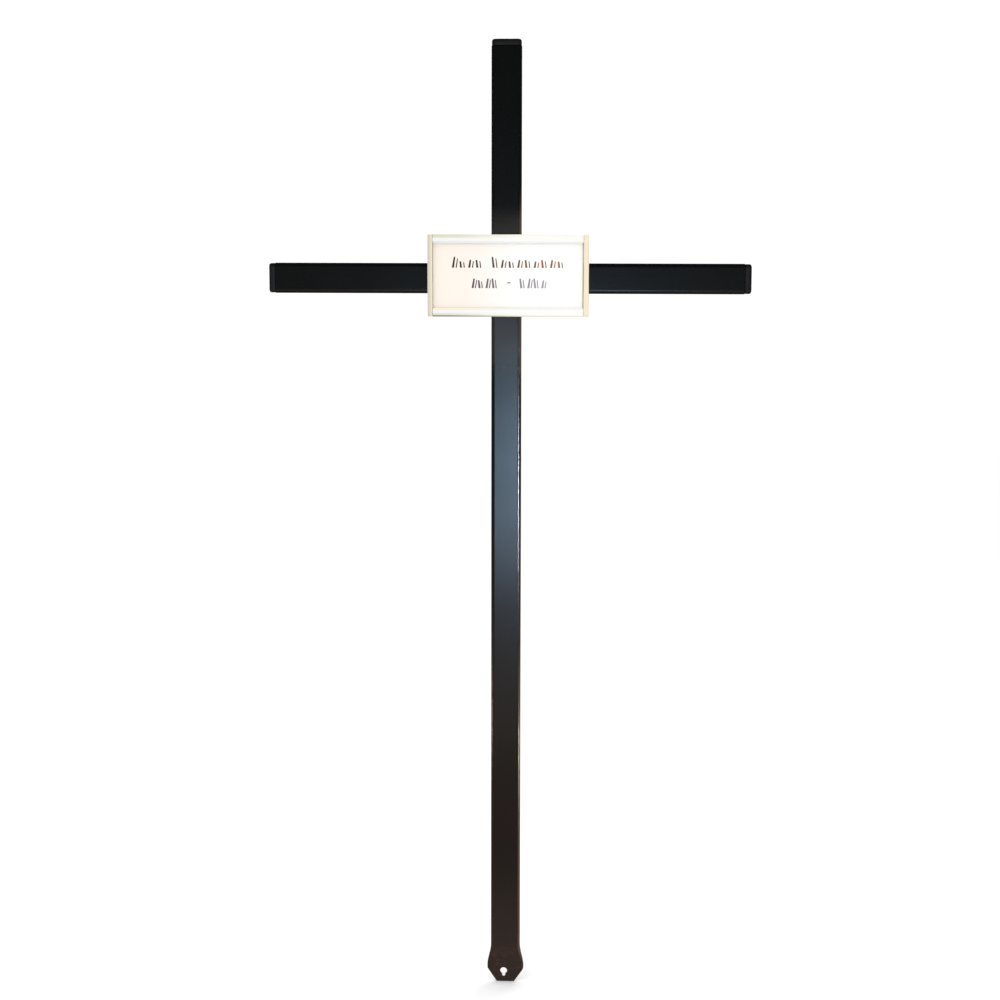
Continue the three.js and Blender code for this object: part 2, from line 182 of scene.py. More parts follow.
class FinishSettings(PropertyGroup):
    """Colours of the finishes"""

    coat: tint("Black coat", (0.0017, 0.0020, 0.0019), "Satin black coat of the steel")
    # Tint of the lighter band at the sign holder, dirt and painted reflection, and of a painted
    # sheen band
    dust_and_sheen: tint("Dust", (0.038, 0.035, 0.031), "Dust beside the sign holder")
    # Soil near the foot, which also paints the ground's warm reflection
    soil: tint("Soil film", (0.062, 0.035, 0.027), "Thin film of soil near the foot")
    rust: tint("Rust", (0.085, 0.030, 0.018), "Worn spots of the foot")
    # Painted warm highlight along the post's right edge
    edge: tint("Worn edge", (0.17, 0.108, 0.08), "Worn right edge of the post")
    plastic: tint("Cap plastic", (0.0030, 0.0036, 0.0036), "Black plastic of the end caps")
    profile: tint("Profile", (0.89, 0.89, 0.88), "Pale face of the rails")
    # Painted light and shade of the rails' rounded flanks and lower lip, darker on the left
    shaded_flank: tint("Dull flank", (0.68, 0.635, 0.50), "Cream flanks of the rails on the left")
    flank: tint("Profile flank", (0.90, 0.85, 0.70), "Cream flanks of the rails on the right")
    # Painted shade line under the lower rail
    underside_shade: tint("Grime", (0.050, 0.048, 0.038), "Grime under the lower rail")
    shaded: tint("Dull cream", (0.62, 0.56, 0.45), "End piece on the left")
    cream: tint("Cream plastic", (0.88, 0.77, 0.58), "End piece on the right")
    insert: tint("Insert", (0.94, 0.94, 0.92), "Face of the name insert")
    # Painted warm shade on the left part of the name insert
    warm: tint("Warm insert", (0.915, 0.82, 0.735), "Yellowed left part of the name insert")
    brown: tint("Brown strokes", (0.032, 0.016, 0.010), "Left end of the upper row")
    # Brown print with a painted glint, at the right end of the upper row
    red: tint("Red brown strokes", (0.33, 0.11, 0.05), "Right end of the upper row")
    violet: tint("Violet strokes", (0.09, 0.07, 0.10), "Left end of the lower row")
    # Violet print with a painted glint, at the right end of the lower row
    glinting_violet: tint("Faded strokes", (0.42, 0.38, 0.45), "Right end of the lower row")


class StageSettings(PropertyGroup):
    """Floor, lights and camera"""

    distance: length("Camera distance", 1800, "How far the camera stands in front")
    side: length("Camera side", 123.38, "How far the camera stands to the right")
    height: length("Camera height", 720.96, "Height of the camera over the tip")
    pitch: angle("Pitch", -7.4884, "Tilt of the camera")
    yaw: angle("Yaw", 3.3, "Turn of the camera")
    roll: angle("Roll", -0.1798, "Roll of the camera")
    lens: number("Lens", 64.772, "Focal length", unit="CAMERA")
    shift: FloatVectorProperty(
        name="Shift", description="Shift of the frame", default=(-0.02621, 0.02214), size=2
    )
    floor: tint("Floor", (0.95, 0.95, 0.95), "Plain pale floor")
    sky: number("Sky", 1.07, "Brightness of the even light all round", min=0)
    dusk: tint("Dim sky", (0.03, 0.03, 0.03), "Light from above, as gloss shows it")
    horizon: tint("Horizon", (0.12, 0.125, 0.12), "Light from all sides, as gloss shows it")
    ground: tint("Warm ground", (0.47, 0.33, 0.25), "Light from below, as gloss shows it")
    room: tint("Room behind", (0.30, 0.26, 0.21), "Light from behind, as gloss shows it")


GROUPS = {
    "cross_tube": TubeSettings,
    "cross_cap": CapSettings,
    "cross_sign": SignSettings,
    "cross_finish": FinishSettings,
    "cross_stage": StageSettings,
}


# Modelling by hand, in code

PARTS = {"VERT": "verts", "EDGE": "edges", "FACE": "faces"}
CORNER_STEPS = 8


def take(*pieces):
    """Selects these pieces alone, with the last one active."""
    bpy.ops.object.select_all(action="DESELECT")
    for piece in pieces:
        piece.select_set(True)
    bpy.context.view_layer.objects.active = pieces[-1]


@contextmanager
def editing(piece):
    """Edit mode on one piece, with nothing of it selected at first."""
    take(piece)
    bpy.ops.object.mode_set(mode="EDIT")
    bpy.ops.mesh.select_all(action="DESELECT")
    yield
    bpy.ops.object.mode_set(mode="OBJECT")


def pick(piece, kind, test):
    """Selects what passes a test, on a piece in edit mode."""
    bpy.ops.mesh.select_mode(type=kind)
    bpy.ops.mesh.select_all(action="DESELECT")
    mesh = bmesh.from_edit_mesh(piece.data)
    chosen = [part for part in getattr(mesh, PARTS[kind]) if test(part)]
    if not chosen:
        raise RuntimeError(f"{piece.name}: nothing passes the test for {PARTS[kind]}")
    for part in chosen:
        part.select_set(True)
    mesh.select_flush_mode()
    bmesh.update_edit_mesh(piece.data)


def runs_along(edge, axis):
    """Whether an edge runs along the axis x, y or z."""
    step = edge.verts[1].co - edge.verts[0].co
    return abs(getattr(step.normalized(), axis)) > ALONG


def middle(part):
    """Middle of an edge or a face."""
    return sum((vertex.co for vertex in part.verts), Vector()) / len(part.verts)


def added(operator, **settings):
    """A new object that is selected alone."""
    bpy.ops.object.select_all(action="DESELECT")
    operator(**settings)
    return bpy.context.object


def settle(piece, name):
    """Names a piece and puts its place into its mesh."""
    take(piece)
    bpy.ops.object.transform_apply(location=True, rotation=True, scale=True)
    piece.name = piece.data.name = name
    return piece


def block(name, low, high):
    """A block between two corners, as the start of a piece."""
    low, high = Vector(low), Vector(high)
    cube = added(bpy.ops.mesh.primitive_cube_add, size=1, location=(low + high) / 2)
    cube.scale = high - low
    return settle(cube, name)


def pin(name, place, radius, depth):
    """A round pin along Y, as the start of a cutter."""
    cylinder = added(
        bpy.ops.mesh.primitive_cylinder_add, location=place, rotation=(math.pi / 2, 0, 0),
        vertices=48, radius=radius, depth=depth,
    )
    return settle(cylinder, name)


def copy_of(piece, name, matrix):
    """A copy of a piece, placed by a matrix."""
    take(piece)
    bpy.ops.object.duplicate(linked=False)
    twin = bpy.context.object
    twin.matrix_world = matrix
    return settle(twin, name)


def join(name, pieces):
    """Several pieces as one."""
    take(*pieces)
    bpy.ops.object.join()
    return settle(bpy.context.object, name)


def modify(piece, kind, **settings):
    """Adds a modifier with these settings and applies it."""
    take(piece)
    bpy.ops.object.modifier_add(type=kind)
    modifier = piece.modifiers[-1]
    for name, value in settings.items():
        setattr(modifier, name, value)
    bpy.ops.object.modifier_apply(modifier=modifier.name)


def carve(piece, cutter, operation="DIFFERENCE"):
    """Cuts a cutter out of a piece, or adds it, and removes the cutter."""
    modify(piece, "BOOLEAN", operation=operation, solver="EXACT", object=cutter)
    bpy.data.objects.remove(cutter)


def soften(piece, width, limit=35):
    """Rounds the sharp edges of a piece and shades it smooth."""
    if width:
        modify(piece, "BEVEL", width=width, segments=3, limit_method="ANGLE",
               angle_limit=math.radians(limit), use_clamp_overlap=False)
    take(piece)
    bpy.ops.object.shade_smooth_by_angle(angle=math.radians(limit))
    modify(piece, "WEIGHTED_NORMAL", keep_sharp=True)


def round_off(piece, width, test, segments=3, **settings):
    """Rounds the edges that pass a test, on a piece in edit mode."""
    pick(piece, "EDGE", test)
    bpy.ops.mesh.bevel(affect="EDGES", offset=width, segments=segments, **settings)


def slice_at(place, normal, **settings):
    """Cuts new edges across the piece in edit mode where a plane passes."""
    bpy.ops.mesh.select_all(action="SELECT")
    bpy.ops.mesh.bisect(plane_co=place, plane_no=normal, **settings)


def pull(distance):
    """Extrudes the selected faces along their normals."""
    bpy.ops.mesh.extrude_region_shrink_fatten(TRANSFORM_OT_shrink_fatten={"value": distance})


def extrude_by(step):
    """Extrudes the selected faces by a step."""
    bpy.ops.mesh.extrude_region_move(TRANSFORM_OT_translate={"value": step})


def hand_over(piece, material, slot, *nodes):
    """Gives a piece its finish and lets it stand for its CAD nodes."""
    piece.data.materials.clear()
    piece.data.materials.append(material)
    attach(piece, BODY)
    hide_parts(*nodes)


# Finishes

class Socket:
    """Output of a shader node that takes Python's operators."""

    def __init__(self, finish, output):
        self.finish = finish
        self.output = output

    def maths(self, operation, *others):
        """Output of a math node on this output and others."""
        inputs = dict(enumerate((self, *others)))
        return self.finish.node("ShaderNodeMath", {"operation": operation}, inputs)

    __add__ = __radd__ = partialmethod(maths, "ADD")
    __sub__ = partialmethod(maths, "SUBTRACT")
    __mul__ = __rmul__ = partialmethod(maths, "MULTIPLY")
    __abs__ = partialmethod(maths, "ABSOLUTE")

    def __rsub__(self, other):
        return self * -1 + other

    def rise(self, start, end):
        """Smooth rise from 0 at start to 1 at end. Start may be the larger."""
        low, high = min(start, end), max(start, end)
        risen = self.finish.node(
            "ShaderNodeMapRange", {"interpolation_type": "SMOOTHSTEP"},
            {"Value": self, "From Min": low, "From Max": high},
        )
        return risen if start < end else 1 - risen

    def band(self, first, second):
        """1 where both of two rises are full."""
        return self.rise(*first) * self.rise(*second)


class Graph:
    """Shader nodes of a material or of the surroundings."""

    def __init__(self, tree):
        self.tree = tree

    def set(self, node, key, value):
        """Links an input to a socket or gives it a constant, and a colour its alpha."""
        field = node.inputs[key]
        if isinstance(value, Socket):
            self.tree.links.new(value.output, field)
        else:
            field.default_value = (*value, 1) if field.type == "RGBA" else value

    def node(self, kind, settings=None, inputs=None, output=0):
        """Adds a node and gives back one of its outputs."""
        made = self.tree.nodes.new(kind)
        for key, value in (settings or {}).items():
            setattr(made, key, value)
        for key, value in (inputs or {}).items():
            self.set(made, key, value)
        return Socket(self, made.outputs[output])

    def mix(self, share, first, second):
        """First colour where the share is 0 and second where it is 1."""
        inputs = {"Factor": share, 6: first, 7: second}
        return self.node("ShaderNodeMix", {"data_type": "RGBA"}, inputs, output=2)

    def part(self, vector, axis):
        """One coordinate of a vector."""
        return self.node("ShaderNodeSeparateXYZ", inputs={"Vector": vector}, output=axis)


class Finish(Graph):
    """Procedural material on object coordinates."""

    def __init__(self, name, ior=1.5, specular=0.5):
        self.material = bpy.data.materials.new(name)
        self.material.use_nodes = True
        super().__init__(self.material.node_tree)
        self.shader = self.tree.nodes["Principled BSDF"]
        self.place = self.node("ShaderNodeTexCoord", output="Object")
        self.set(self.shader, "IOR", ior)
        self.set(self.shader, "Specular IOR Level", specular)

    def axis(self, name):
        """One coordinate of the place on the object."""
        return self.part(self.place, name)

    def noise(self, scale, detail=2.0, stretch=(1, 1, 1)):
        """Noise with so many cells to the metre, drawn out by a stretch below 1."""
        placed = self.node("ShaderNodeMapping", inputs={"Vector": self.place, "Scale": stretch})
        inputs = {"Vector": placed, "Scale": scale, "Detail": detail}
        return self.node("ShaderNodeTexNoise", inputs=inputs)

    def bumps(self, relief, depth, under=None):
        """Normal of a surface with a relief of this depth, over another such normal."""
        inputs = {"Height": relief, "Distance": depth}
        if under:
            inputs["Normal"] = under
        return self.node("ShaderNodeBump", inputs=inputs)

    def done(self, colour, roughness, normal=None):
        """Sets the surface's looks and gives the material back."""
        self.set(self.shader, "Base Color", colour)
        self.set(self.shader, "Roughness", roughness)
        if normal:
            self.set(self.shader, "Normal", normal)
        return self.material


# Where tints set in and where they are full, in metres. Two such pairs make a band.
# Heights over the tip
# The soil heights also paint the ground's reflection; the band above the crease is painted
# reflection
SOIL_SHEEN_HEIGHTS, TAPER_SHEEN, WORN_SPOTS = (0.15, 0.02), (0.043, 0.029), (0.05, 0.02)
# The first band is painted sheen on the post
SHEEN_BAND, HIGH_EDGE = ((0.42, 0.33), (0.21, 0.29)), ((0.60, 0.66), (0.82, 0.78))
# Lighter band above and below the sign holder: dirt, and painted reflection of the holder
BESIDE_SIGN = ((sign_height + 0.072, sign_height + 0.040), (0.622, 0.662))
# Painted highlights along the post's right edge low down; HIGH_EDGE above marks them near the sign
# holder
LOW_EDGE, LOW_EDGE_FOOT = (0.40, 0.24), (0.020, 0.036)
# Depth behind the middle of the post, and place beside its right edge
FRONT, RIM = (4 * MM, -2 * MM), (-2.6 * MM, -0.8 * MM)
# Depth below a rail's outer edge, and heights over the edge of the lower lip and of the lower rail
FLANK, LIP, UNDERSIDE_SHADE_BAND = (4.6 * MM, 1.7 * MM), (-2.2 * MM, -1.4 * MM), (3 * MM, 2 * MM)
# Distance from the left end, depth of a stroke, and half the width of the rows
OUTER_END, CUT, ROW = (1 * MM, 5 * MM), (0.02 * MM, 0.1 * MM), (70 * MM, 68 * MM)
# Painted light and shade, from the left to the right
RAIL_LIGHT_RAMP, END_LIGHT_RAMP = (-0.08, 0.04), (-0.04, 0.06)
GLINT_RAMP, WARM_SHADE_RAMP = (-0.05, 0.06), (0.03, -0.05)

CREASE_WIDTH = 0.4 * MM
# Lesser tints. The left rail tint is painted shade, and the inner end tint is the lighter side of
# painted shade on the left end piece
SPECK, SCUFF, SHADED_LEFT_RAIL = (0.09, 0.085, 0.08), (0.03, 0.03, 0.03), (0.82, 0.83, 0.82)
INNER_END, CREAM_CLOUD, FLOOR_CLOUD = (0.80, 0.74, 0.61), (0.66, 0.56, 0.40), (0.85, 0.85, 0.85)


def coat_finish(name, stretch, dust_and_sheen):
    """Satin black coat with grain and wipe marks along the tube, soil and dirt, and painted sheen
    and highlights.
    """
    colours, tube = bpy.context.scene.cross_finish, bpy.context.scene.cross_tube
    coat = Finish(name, specular=0.42)
    height = coat.axis("Z")
    cloud = coat.noise(26, 3)
    grain = coat.noise(600, 2, stretch)
    wipes = coat.noise(900, 2, tuple(share ** 3 for share in stretch))
    specks = coat.noise(1500, 1).rise(0.73, 0.8)
    # Soil near the foot that also paints the ground's reflection, and painted reflection just above
    # the crease
    crease = height.band((tube.blade - CREASE_WIDTH, tube.blade), TAPER_SHEEN)
    soil_sheen = height.rise(*SOIL_SHEEN_HEIGHTS) * (0.55 + 0.6 * cloud) + 0.3 * crease
    worn = height.rise(*WORN_SPOTS) * coat.noise(180, 4).rise(0.52, 0.7)
    flare = 1 - height.rise(tube.blade - tube.runout, tube.blade + tube.taper)
    half_width = tube.width / 2 + (post_high.x - tube.width / 2) * flare
    front = coat.axis("Y").rise(*FRONT)
    # Painted warm highlights along the right edge of the post, low down and near the sign holder
    rim = (coat.axis("X") - half_width).rise(*RIM) * front
    low_edge = height.rise(*LOW_EDGE) * (0.25 + 0.75 * height.rise(*LOW_EDGE_FOOT))
    high_edge = height.band(*HIGH_EDGE) * dust_and_sheen
    # Lighter band at the sign holder, dirt and painted reflection, and a painted sheen band lower
    # down
    beside_sign = height.band(*BESIDE_SIGN) * front * dust_and_sheen
    dust_and_sheen_share = beside_sign * (0.4 + 0.4 * cloud) + 0.13 * height.band(*SHEEN_BAND)
    speckled = coat.mix(specks * 0.2, colours.coat, SPECK)
    with_dust_and_sheen = coat.mix(dust_and_sheen_share, speckled, colours.dust_and_sheen)
    with_soil_sheen = coat.mix(soil_sheen * 0.34, with_dust_and_sheen, colours.soil)
    with_edge_highlight = coat.mix(rim * (low_edge + high_edge) * (0.2 + 0.5 * cloud), with_soil_sheen, colours.edge)
    colour = coat.mix(worn * 0.35, with_edge_highlight, colours.rust)
    rough = 0.175 + 0.04 * cloud + 0.02 * wipes + 0.12 * soil_sheen
    relief = coat.bumps(wipes, 0.001 * MM, coat.bumps(grain, 0.012 * MM))
    return coat.done(colour, rough, relief)


def plastic_finish():
    """Fine matt black plastic of the end caps."""
    colours = bpy.context.scene.cross_finish
    plastic = Finish("cap_plastic")
    cloud = plastic.noise(120, 3)
    texture = plastic.noise(2200, 2)
    scuffs = plastic.noise(260, 5).rise(0.6, 0.72)
    colour = plastic.mix(scuffs * 0.3, colours.plastic, SCUFF)
    return plastic.done(colour, 0.40 + 0.12 * cloud, plastic.bumps(texture, 0.01 * MM))


def profile_finish():
    """Pale rails with faint streaks along them; painted light and shade on the flanks, lip and
    underside.
    """
    colours = bpy.context.scene.cross_finish
    profile = Finish("pale_profile")
    opening = sign_half - bpy.context.scene.cross_sign.rail
    streaks = profile.noise(700, 2, (0.02, 1, 1))
    cloud = profile.noise(40, 3)
    level = profile.axis("Z") - sign_height
    # Painted light and shade: cream on the rounded outer flanks and on the lower lip, less of it on
    # the right
    outer = (sign_half - abs(level)).rise(*FLANK)
    in_front = profile.axis("Y").rise(insert_high.y, insert_low.y)
    lower_lip = (level + opening).rise(*LIP) * level.rise(0, -opening / 2) * in_front
    # Painted light from the right: the rails are darker on the left
    lit_from_right = profile.axis("X").rise(*RAIL_LIGHT_RAMP)
    cream = outer * (1 - 0.5 * lit_from_right) + lower_lip * (1 - 0.8 * lit_from_right)
    pale = profile.mix(lit_from_right, SHADED_LEFT_RAIL, colours.profile)
    flank = profile.mix((lit_from_right + lower_lip).rise(0, 1), colours.shaded_flank, colours.flank)
    banded = profile.mix(cream, pale, flank)
    # Painted shade line on the downward faces of the lower rail, weaker to the right
    normal = profile.node("ShaderNodeNewGeometry", output="Normal")
    below = profile.part(normal, "Z").rise(-0.22, -0.5) * (level + sign_half).rise(*UNDERSIDE_SHADE_BAND)
    colour = profile.mix(below * (1 - 0.85 * lit_from_right), banded, colours.underside_shade)
    rough = 0.3 + 0.1 * streaks + 0.08 * cloud
    return profile.done(colour, rough, profile.bumps(streaks, 0.01 * MM))


def cream_finish():
    """Moulded cream plastic of the end pieces, with painted shade on the left one."""
    colours = bpy.context.scene.cross_finish
    cream = Finish("cream_plastic", ior=1.46)
    cloud = cream.noise(90, 3)
    texture = cream.noise(1800, 2)
    across = cream.axis("X")
    # Painted shade: the left end piece is darker, most at its outer rim; the right one is plain
    # cream
    left = cream.mix((across - end_low.x).rise(*OUTER_END), colours.shaded, INNER_END)
    plain = cream.mix(across.rise(*END_LIGHT_RAMP), left, colours.cream)
    colour = cream.mix(0.3 * cloud, plain, CREAM_CLOUD)
    return cream.done(colour, 0.42 + 0.1 * cloud, cream.bumps(texture, 0.008 * MM))


def insert_finish():
    """White plate with painted warm shade on its left, and engraved strokes lit to the right by a
    painted glint.
    """
    colours = bpy.context.scene.cross_finish
    plate = Finish("name_insert")
    across = plate.axis("X")
    inside = abs(across - insert_middle).rise(*ROW)
    cut = (plate.axis("Y") - insert_low.y).rise(*CUT) * inside
    # The print is brown in the upper row and violet in the lower; a painted glint lightens it to
    # the right
    right = across.rise(*GLINT_RAMP)
    upper = plate.axis("Z").rise(sign_height, sign_height + MM)
    brown = plate.mix(right, colours.brown, colours.red)
    violet = plate.mix(right, colours.violet, colours.glinting_violet)
    stroke = plate.mix(upper, violet, brown)
    cloud = plate.noise(30, 3)
    # Painted warm shade over the left part of the insert
    warm_shade_share = across.rise(*WARM_SHADE_RAMP) * (0.75 + 0.25 * cloud)
    face = plate.mix(warm_shade_share, colours.insert, colours.warm)
    streaks = plate.noise(500, 2, (0.06, 1, 1))
    rough = 0.28 + 0.08 * cloud + 0.25 * cut
    return plate.done(plate.mix(cut, face, stroke), rough, plate.bumps(streaks, 0.006 * MM))


# Pieces

# Share of its depth that a corner of the blade may take up
ROUND_SHARE = 0.48


def foot_section(tube, height):
    """Width and depth of the post at a height. The walls part at a crease above the blade."""
    foot, top = tube.blade - tube.runout, tube.blade + tube.taper
    flare = min(max((height - foot) / (top - foot), 0), 1)
    climb = min(max((height - tube.blade) / tube.taper, 0), 1)
    flare = flare * flare * (3 - 2 * flare)
    swell = math.sin(math.pi / 2 * climb)
    width = blade_width + (tube.width - blade_width) * flare
    return width, 2 * tube.wall + (tube_depth - 2 * tube.wall) * swell


def section_ring(tube, width, depth, height):
    """Adds a rounded ring of edges at a height, to the piece in edit mode."""
    bpy.ops.mesh.primitive_plane_add(size=1, location=(0, 0, height))
    bpy.ops.transform.resize(value=(width, depth, 1), center_override=(0, 0, height))
    corner = min(tube.corner, ROUND_SHARE * depth)
    bpy.ops.mesh.bevel(
        affect="VERTICES", offset=corner, segments=CORNER_STEPS, profile=tube.fullness
    )
    bpy.ops.mesh.delete(type="ONLY_FACE")


class GRAVECROSS_OT_post(Operator):
    """Models the post, with its foot pressed flat, cut at two corners and punched with a keyhole"""

    bl_idname = "gravecross.post"
    bl_label = "Post"

    RUNOUT_STEPS, TAPER_STEPS, HOLLOW_STEPS = 3, 18, 4
    HOLLOW_SHARE = 0.8

    def execute(self, context):
        tube = context.scene.cross_tube
        post = block("post_tube", post_low, post_high)
        self.draw_outside(post, tube)
        self.hollow_out(post, tube)
        self.cut_shoulders(post, tube)
        self.punch_keyhole(post, tube)
        soften(post, 0)
        hand_over(post, coat_finish("black_coat_upright", (1, 1, 0.3), 1), "black_coat", "post")
        return {"FINISHED"}

    def draw_outside(self, post, tube):
        """Replaces the block by a skin over rounded sections, closed at both ends."""
        runout = range(self.RUNOUT_STEPS, 0, -1)
        taper = range(self.TAPER_STEPS + 1)
        heights = [tube.blade - tube.runout * step / self.RUNOUT_STEPS for step in runout]
        heights += [tube.blade + tube.taper * step / self.TAPER_STEPS for step in taper]
        heights = [0, *heights, post_high.z]
        with editing(post):
            bpy.ops.mesh.select_all(action="SELECT")
            bpy.ops.mesh.delete(type="VERT")
            for height in heights:
                width, depth = foot_section(tube, height)
                section_ring(tube, width, depth, height)
            bpy.ops.mesh.select_all(action="SELECT")
            bpy.ops.mesh.bridge_edge_loops(type="SINGLE")
            bpy.ops.mesh.select_all(action="SELECT")
            bpy.ops.mesh.fill_holes(sides=0)
            bpy.ops.mesh.normals_make_consistent(inside=False)

    def hollow_out(self, post, tube):
        """Sinks the hollow of the tube from its top down to where the walls meet."""
        with editing(post):
            pick(post, "FACE", lambda face: middle(face).z > post_high.z - NEAR)
            bpy.ops.mesh.inset(thickness=tube.wall)
            top = tube.blade + tube.taper
            extrude_by((0, 0, top - post_high.z))
            section = foot_section(tube, top)
            drop = -tube.taper * self.HOLLOW_SHARE / self.HOLLOW_STEPS
            walls = 2 * tube.wall
            for step in range(1, self.HOLLOW_STEPS + 1):
                level = top + drop * step
                lower = foot_section(tube, level)
                scale = [(new - walls) / (old - walls) for new, old in zip(lower, section)]
                extrude_by((0, 0, drop))
                bpy.ops.transform.resize(value=(*scale, 1), center_override=(0, 0, level))
                section = lower

    def cut_shoulders(self, post, tube):
        """Cuts off both lower corners of the blade and rounds its cut edges."""
        cuts = [((0, 0, 0), Vector((0, 0, -1))), *self.shoulder_cuts(tube)]
        with editing(post):
            for place, normal in cuts[1:]:
                slice_at(place, normal, use_fill=True, clear_outer=True)
            round_off(post, tube.edge_round, lambda edge: middle(edge).z < tube.blade and any(
                face.normal.dot(normal) > FLAT for face in edge.link_faces for _, normal in cuts
            ))
            round_off(post, tube.edge_break, lambda edge: min(
                vertex.co.z for vertex in edge.verts) > post_high.z - NEAR)

    def shoulder_cuts(self, tube):
        """Places and directions of the cuts, with two more that wear the right shoulder."""
        half = blade_width / 2
        for side, height, worn, shares in (
            (-1, tube.left_shoulder, 0, (1,)),
            (1, tube.right_shoulder, tube.worn, (1, 1 / 3, 2 / 3)),
        ):
            turn = math.atan2(half - tube.tip / 2, height)
            centre = Vector((half - worn, 0, height + worn * math.tan(turn / 2)))
            for share in shares:
                outwards = Vector((math.cos(turn * share), 0, -math.sin(turn * share)))
                place = centre + worn * outwards
                mirror = Vector((side, 1, 1))
                yield place * mirror, outwards * mirror

    def punch_keyhole(self, post, tube):
        """Punches the head, the slot and its round end through the blade, and breaks their rims."""
        across, half, depth = -tube.key_shift, tube.key_slot / 2, 4 * tube.wall
        slot_end = tube.key_height - tube.key_drop
        low = (across - half, -depth / 2, slot_end)
        high = (across + half, depth / 2, tube.key_height)
        carve(post, pin("head", (across, 0, tube.key_height), tube.key_head / 2, depth))
        carve(post, pin("slot_end", (across, 0, slot_end), half, depth))
        carve(post, block("slot", low, high))
        with editing(post):
            round_off(post, tube.edge_break, lambda edge: self.is_rim(edge, tube))

    def is_rim(self, edge, tube):
        """Whether an edge runs round the keyhole in the front or back face of the blade."""
        place = middle(edge) - Vector((-tube.key_shift, 0, tube.key_height))
        return (
            abs(place.x) < tube.key_head / 2 + NEAR
            and -tube.key_drop - tube.key_slot < place.z < tube.key_head / 2 + NEAR
            and all(abs(abs(vertex.co.y) - tube.wall) < NEAR for vertex in edge.verts)
            and sorted(abs(face.normal.y) > FACING for face in edge.link_faces) == [False, True]
        )


class GRAVECROSS_OT_arms(Operator):
    """Models both arms, with the weld seams that hold them to the post"""

    bl_idname = "gravecross.arms"
    bl_label = "Arms"

    SEED = 7
    # Of the ripples: reach in steps, swing in half widths, least size, and voxels that join them
    LAP, SWING, SMALLEST, VOXEL = 0.9, 0.1, 0.92, 0.28 * MM

    def execute(self, context):
        tube = context.scene.cross_tube
        inset = context.scene.cross_cap.head + FIT_GAP
        finish = coat_finish("black_coat_level", (0.3, 1, 1), 0)
        start = tube.width / 2 + FIT_GAP
        ends = {"left_arm": cap_low.x + inset, "right_arm": far_cap_high.x - inset}
        draw = random.Random(self.SEED)
        for name, end in ends.items():
            side = math.copysign(1, end)
            arm = self.tube_between(tube, *sorted((side * start, end)))
            seams = self.weld_seams(tube, side, draw)
            hand_over(join(f"{name}_tube", [*seams, arm]), finish, "black_coat", name)
        return {"FINISHED"}

    def tube_between(self, tube, left, right):
        """Open length of tube along X."""
        low = (left, post_low.y, arm_height - tube.width / 2)
        arm = block("arm", low, (right, post_high.y, arm_height + tube.width / 2))
        with editing(arm):
            round_off(arm, tube.corner, lambda edge: runs_along(edge, "x"),
                      CORNER_STEPS, profile=tube.fullness)
            pick(arm, "FACE", lambda face: abs(face.normal.x) > FACING)
            bpy.ops.mesh.delete(type="FACE")
        modify(arm, "SOLIDIFY", thickness=tube.wall, offset=-1, use_even_offset=True)
        soften(arm, tube.edge_break)
        return arm

    def weld_seams(self, tube, side, draw):
        """One seam up the back of the joint, and one each along its upper and lower edge."""
        joint = side * (tube.width / 2 + FIT_GAP / 2)
        back = post_high.y - tube.bead_sink
        edge = tube.width / 2 - tube.bead_sink
        reach = edge - tube.bead_step / 2
        rise, lap = tube.bead_rise + tube.bead_sink, tube.bead_step * self.LAP
        flat = Vector((tube.bead_width / 2, rise, lap))
        runs = [((joint, back, arm_height - reach), (joint, back, arm_height + reach), flat)]
        front, rear = post_low.y + tube.corner, back - tube.bead_step / 2
        for level in (arm_height - edge, arm_height + edge):
            runs.append(((joint, front, level), (joint, rear, level), flat.xzy))
        return [self.weld_run(tube, *run, draw) for run in runs]

    def weld_run(self, tube, start, end, size, draw):
        """Ripples of weld metal, one lapping over the next."""
        start, end = Vector(start), Vector(end)
        count = round((end - start).length / tube.bead_step)
        dab = added(bpy.ops.mesh.primitive_uv_sphere_add, segments=24, ring_count=14, radius=1)
        ripples = []
        for step in range(count + 1):
            swing = Vector((draw.uniform(-self.SWING, self.SWING) * size.x, 0, 0))
            scale = Matrix.Diagonal((*(size * draw.uniform(self.SMALLEST, 1)), 1))
            place = Matrix.Translation(start.lerp(end, step / count) + swing)
            ripples.append(copy_of(dab, "ripple", place @ scale))
        bpy.data.objects.remove(dab)
        seam = join("seam", ripples)
        modify(seam, "REMESH", mode="VOXEL", voxel_size=self.VOXEL)
        modify(seam, "SMOOTH", factor=0.5, iterations=2)
        bpy.ops.object.shade_smooth()
        return seam


